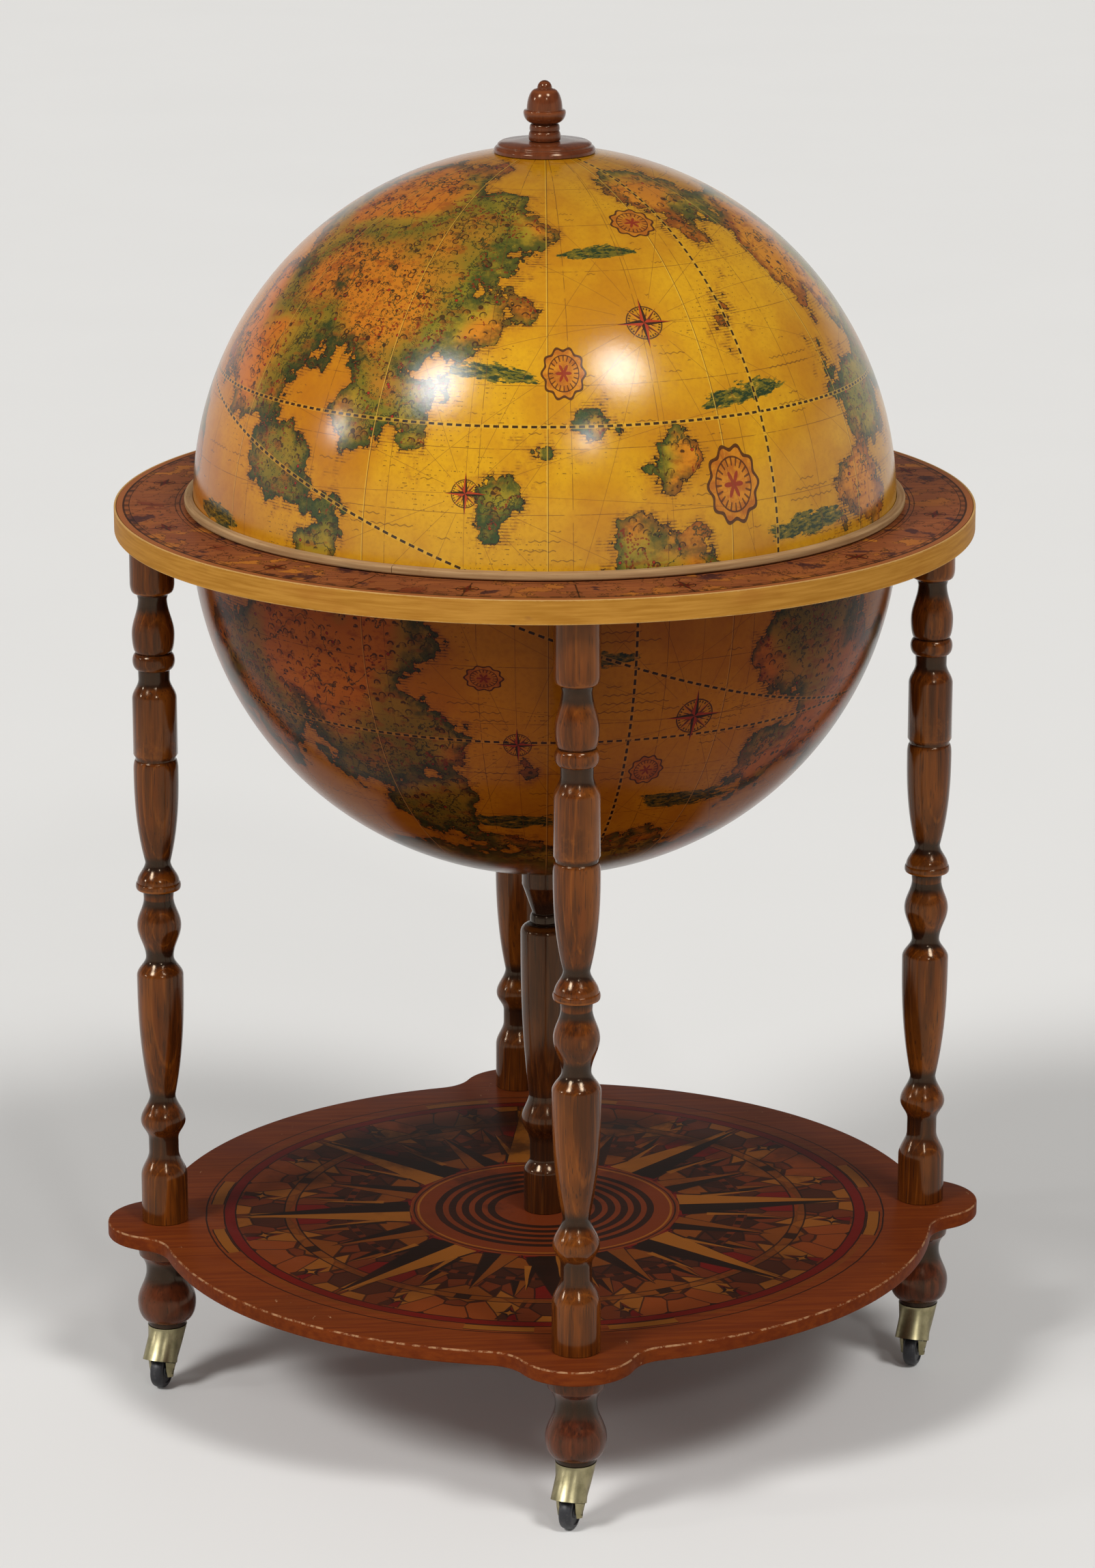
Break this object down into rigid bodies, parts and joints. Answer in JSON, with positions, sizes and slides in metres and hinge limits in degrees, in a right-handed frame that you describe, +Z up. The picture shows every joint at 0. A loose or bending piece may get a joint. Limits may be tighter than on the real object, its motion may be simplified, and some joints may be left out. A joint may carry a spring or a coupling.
{
  "type": "floor globe bar",
  "caption": "Globe-shaped bar cabinet: hinged upper half, tray and bottle well in the lower half, horizon ring on turned legs, shelf below, swivel casters.",
  "frame": {"origin": "on the floor, on the upright axis through the middle of the globe", "axes": "+Z up; front toward -Y, hinges of the lid at +Y; the four legs stand on the X and Y axes"},
  "size_m": [0.644, 0.644, 0.963],
  "materials": {
    "printed_board": "board covered with a varnished printed sheet, satin",
    "dark_wood": "turned wood, near black walnut stain, glossy",
    "red_wood": "turned wood, dark mahogany stain, glossy",
    "plain_wood": "bare pale wood",
    "edge_veneer": "golden maple veneer strip, satin",
    "map_paper": "moulded wood fibre covered with printed paper, varnished",
    "pale_trim": "pale bent wood strip",
    "moulding": "moulded plastic, dark brown",
    "steel": "plain zinc plated steel",
    "brass": "aged satin brass plate",
    "rubber": "black, slightly glossy"
  },
  "bodies": {
    "stand": {"lower_shelf": "printed_board", "horizon_ring": "printed_board", "centre_column": "dark_wood", "column_bolt_lower": "steel", "column_bolt_upper": "steel", "ring_edge_band": "edge_veneer", "lower_globe_half": "map_paper", "bowl_hoop": "plain_wood", "glass_tray": "moulding", "bottle_well": "moulding", "leg_front": "dark_wood", "leg_dowel_front": "plain_wood", "leg_rod_front": "steel", "foot_front": "red_wood", "caster_socket_front": "steel", "leg_right": "dark_wood", "leg_dowel_right": "plain_wood", "leg_rod_right": "steel", "foot_right": "red_wood", "caster_socket_right": "steel", "leg_rear": "dark_wood", "leg_dowel_rear": "plain_wood", "leg_rod_rear": "steel", "foot_rear": "red_wood", "caster_socket_rear": "steel", "leg_left": "dark_wood", "leg_dowel_left": "plain_wood", "leg_rod_left": "steel", "foot_left": "red_wood", "caster_socket_left": "steel", "hinge_fixed_leaf_left": "brass", "hinge_pin_left": "steel", "hinge_fixed_leaf_right": "brass", "hinge_pin_right": "steel"},
    "lid": {"upper_globe_half": "map_paper", "lid_hoop": "plain_wood", "lid_trim": "pale_trim", "finial_base": "red_wood", "finial_knob": "red_wood", "finial_screw": "steel", "hinge_lid_leaf_left": "brass", "hinge_lid_leaf_right": "brass"},
    "caster_front": {"caster_stem_front": "steel", "caster_hood_front": "brass", "caster_axle_front": "steel"},
    "wheel_front": {"caster_wheel_front": "rubber"},
    "caster_right": {"caster_stem_right": "steel", "caster_hood_right": "brass", "caster_axle_right": "steel"},
    "wheel_right": {"caster_wheel_right": "rubber"},
    "caster_rear": {"caster_stem_rear": "steel", "caster_hood_rear": "brass", "caster_axle_rear": "steel"},
    "wheel_rear": {"caster_wheel_rear": "rubber"},
    "caster_left": {"caster_stem_left": "steel", "caster_hood_left": "brass", "caster_axle_left": "steel"},
    "wheel_left": {"caster_wheel_left": "rubber"}
  },
  "joints": [
    {"name": "lid_hinge", "type": "hinge", "parent": "stand", "child": "lid", "pos_m": [0, 0.26, 0.6685], "axis": [-1, 0, 0], "range_deg": [0, 95]},
    {"name": "caster_swivel_front", "type": "hinge", "parent": "stand", "child": "caster_front", "pos_m": [0, -0.28, 0.046], "axis": [0, 0, 1], "continuous": true},
    {"name": "wheel_spin_front", "type": "hinge", "parent": "caster_front", "child": "wheel_front", "pos_m": [-0.00496, -0.29093, 0.013], "axis": [0.9107, -0.4131, 0], "continuous": true},
    {"name": "caster_swivel_right", "type": "hinge", "parent": "stand", "child": "caster_right", "pos_m": [0.28, 0, 0.046], "axis": [0, 0, 1], "continuous": true},
    {"name": "wheel_spin_right", "type": "hinge", "parent": "caster_right", "child": "wheel_right", "pos_m": [0.27504, -0.01093, 0.013], "axis": [0.9107, -0.4131, 0], "continuous": true},
    {"name": "caster_swivel_rear", "type": "hinge", "parent": "stand", "child": "caster_rear", "pos_m": [0, 0.28, 0.046], "axis": [0, 0, 1], "continuous": true},
    {"name": "wheel_spin_rear", "type": "hinge", "parent": "caster_rear", "child": "wheel_rear", "pos_m": [-0.00496, 0.26907, 0.013], "axis": [0.9107, -0.4131, 0], "continuous": true},
    {"name": "caster_swivel_left", "type": "hinge", "parent": "stand", "child": "caster_left", "pos_m": [-0.28, 0, 0.046], "axis": [0, 0, 1], "continuous": true},
    {"name": "wheel_spin_left", "type": "hinge", "parent": "caster_left", "child": "wheel_left", "pos_m": [-0.28496, -0.01093, 0.013], "axis": [0.9107, -0.4131, 0], "continuous": true}
  ]
}
